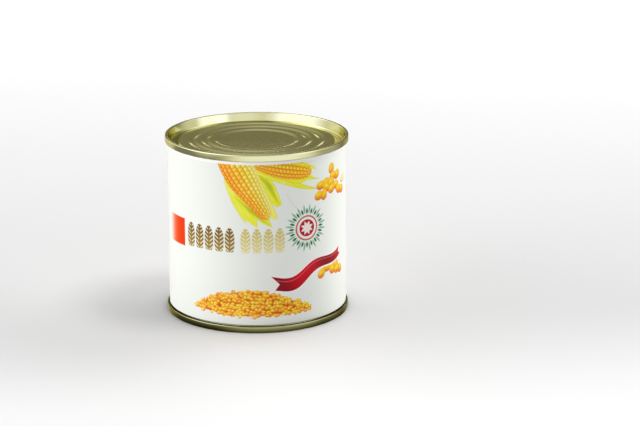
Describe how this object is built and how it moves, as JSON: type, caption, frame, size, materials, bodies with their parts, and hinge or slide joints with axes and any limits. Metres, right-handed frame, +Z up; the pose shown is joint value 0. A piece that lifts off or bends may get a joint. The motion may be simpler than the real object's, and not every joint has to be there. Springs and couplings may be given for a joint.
{
  "type": "can of sweet corn",
  "caption": "Shut tinplate food can of sweet corn with seamed ends, ringed lid and a white paper label printed with corn.",
  "frame": {"origin": "centre of the can's footprint, on the surface it stands on", "axes": "+Z up along the can's axis; the middle of the label's front print faces -Y; +X is to its right"},
  "size_m": [0.0874, 0.0874, 0.0857],
  "materials": {
    "lacquered_tinplate": "satin",
    "printed_label": "gloss"
  },
  "bodies": {
    "root": {"can_body": "lacquered_tinplate", "top_end": "lacquered_tinplate", "bottom_end": "lacquered_tinplate", "paper_label": "printed_label"}
  },
  "joints": []
}
